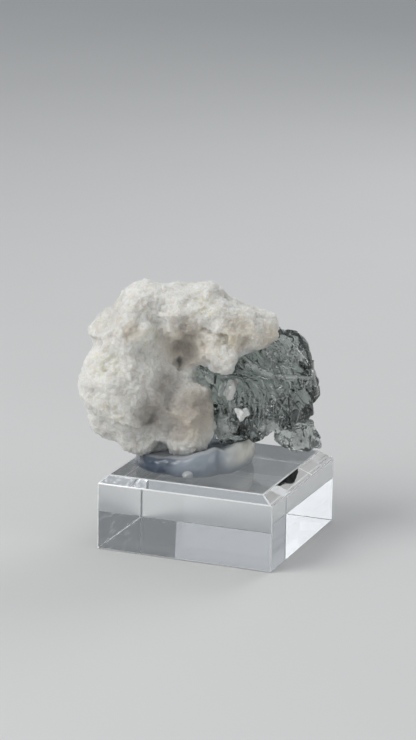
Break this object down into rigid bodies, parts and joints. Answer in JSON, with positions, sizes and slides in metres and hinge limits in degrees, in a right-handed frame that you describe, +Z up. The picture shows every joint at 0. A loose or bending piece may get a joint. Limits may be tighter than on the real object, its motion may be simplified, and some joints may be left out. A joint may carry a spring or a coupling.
{
  "type": "aquamarine on feldspar matrix, mounted on a clear block",
  "caption": "Etched pale blue-green beryl crystal grown with lumpy white feldspar, held in clear putty on a bevelled acrylic block, for display.",
  "frame": {"origin": "middle of the acrylic block's underside", "axes": "+Z up, -Y out of the block's wide front face, +X out of its right side"},
  "size_m": [0.0374, 0.0321, 0.0442],
  "materials": {
    "acrylic": "clear polished acrylic, lightly scratched",
    "putty": "cloudy blue-grey translucent putty, glossy",
    "feldspar": "matt, sugary, off-white with faint yellow-grey stains",
    "aquamarine": "translucent grey-green-blue, etched, glassy"
  },
  "bodies": {
    "root": {"acrylic_base": "acrylic", "mounting_putty": "putty", "matrix": "feldspar", "aquamarine": "aquamarine", "feldspar_grain": "feldspar"}
  },
  "joints": []
}
